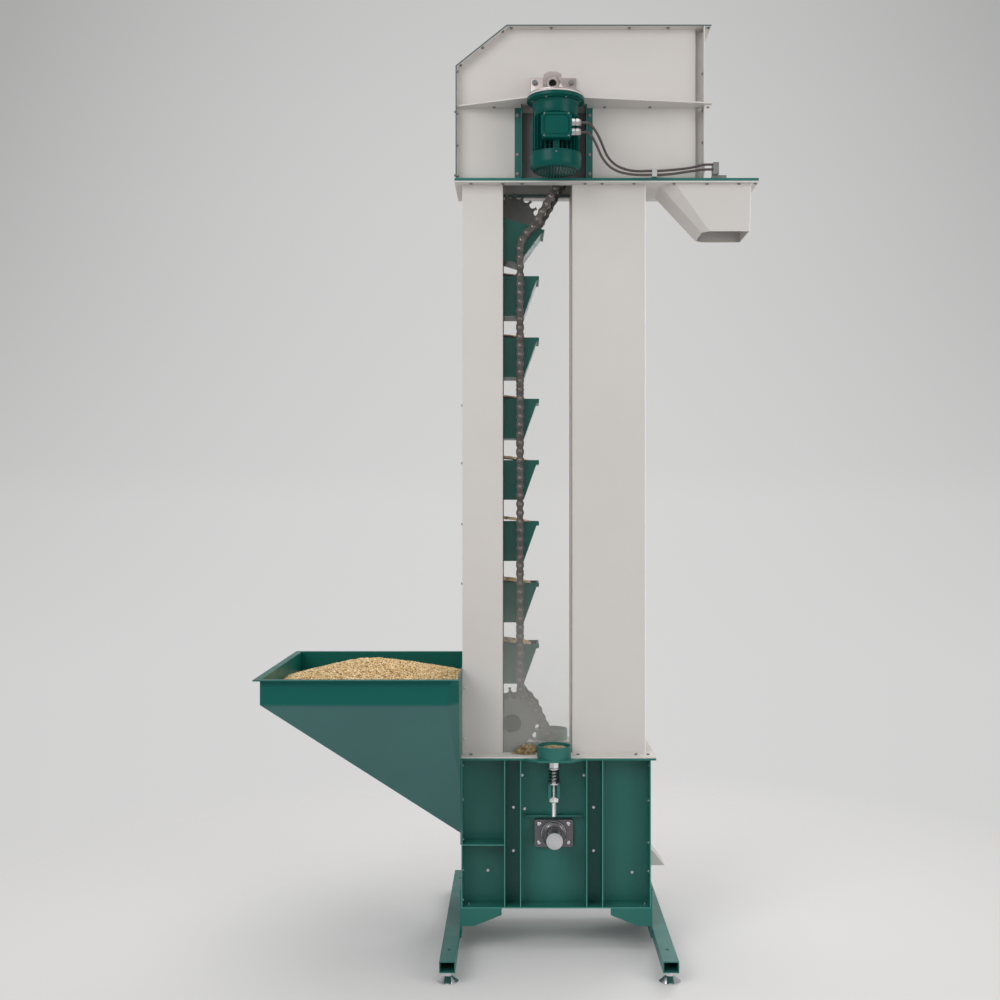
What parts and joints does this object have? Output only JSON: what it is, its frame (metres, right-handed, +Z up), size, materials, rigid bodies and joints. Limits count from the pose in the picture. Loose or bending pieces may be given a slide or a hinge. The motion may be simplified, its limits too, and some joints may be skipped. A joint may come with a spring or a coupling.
{
  "type": "bucket elevator",
  "caption": "Floor-standing bucket elevator: low feed hopper, sheet trunk with a clear window onto chain-hung buckets, boxed head with a hanging geared motor, and a side discharge spout.",
  "frame": {"origin": "on the floor, under the middle of the machine's whole width and depth", "axes": "+Z up, +X towards the discharge spout, the window and motor face -Y"},
  "size_m": [1.398, 0.808, 2.627],
  "materials": {
    "teal_paint": "satin",
    "white_paint": "satin",
    "clear_pane": "clear, dusty",
    "motor_paint": "satin",
    "bucket_green": "satin",
    "bright_steel": "machined",
    "grey_casting": "matt",
    "gear_case": "cast",
    "plated_pads": "polished",
    "oiled_chain": "oiled",
    "dark_plate": "matt",
    "black_plastic": "matt",
    "grey_plastic": "matt",
    "cable_rubber": "matt"
  },
  "bodies": {
    "root": {"boot_shell": "teal_paint", "boot_front_wall": "teal_paint", "boot_back_wall": "teal_paint", "boot_front_ribs": "teal_paint", "boot_back_ribs": "teal_paint", "boot_top_plate": "teal_paint", "front_collar": "teal_paint", "back_collar": "teal_paint", "front_take_up_slide": "teal_paint", "back_take_up_slide": "teal_paint", "front_boot_bearing": "grey_casting", "back_boot_bearing": "grey_casting", "front_take_up_screw": "bright_steel", "back_take_up_screw": "bright_steel", "boot_shaft": "bright_steel", "left_foot_beam": "teal_paint", "right_foot_beam": "teal_paint", "left_leg_bracket": "teal_paint", "right_leg_bracket": "teal_paint", "levelling_pads": "plated_pads", "trunk_left_channel": "white_paint", "trunk_return_duct": "white_paint", "trunk_base_flange": "white_paint", "front_window": "clear_pane", "back_window": "clear_pane", "hopper_front_wall": "teal_paint", "hopper_back_wall": "teal_paint", "hopper_end_wall": "teal_paint", "hopper_floor": "teal_paint", "hopper_outlet_wall": "teal_paint", "hopper_rim": "teal_paint", "head_front_wall": "white_paint", "head_back_wall": "white_paint", "head_hood": "white_paint", "head_base_plate": "teal_paint", "head_sole_flange": "white_paint", "drive_shelf": "white_paint", "discharge_spout": "white_paint", "head_shaft": "bright_steel", "head_back_bearing": "grey_casting", "gearbox": "gear_case", "motor": "motor_paint", "fan_cowl": "motor_paint", "terminal_box": "motor_paint", "motor_brackets": "teal_paint", "motor_back_plate": "dark_plate", "cable_glands": "plated_pads", "upper_motor_lead": "cable_rubber", "lower_motor_lead": "cable_rubber", "lead_clip": "plated_pads", "lead_junction": "grey_plastic", "front_chain": "oiled_chain", "back_chain": "oiled_chain", "lower_guide_sprockets": "oiled_chain", "upper_guide_sprocket": "oiled_chain", "lower_buckets": "bucket_green", "middle_buckets": "bucket_green", "upper_buckets": "bucket_green", "clean_out_hood": "white_paint"}
  },
  "joints": []
}
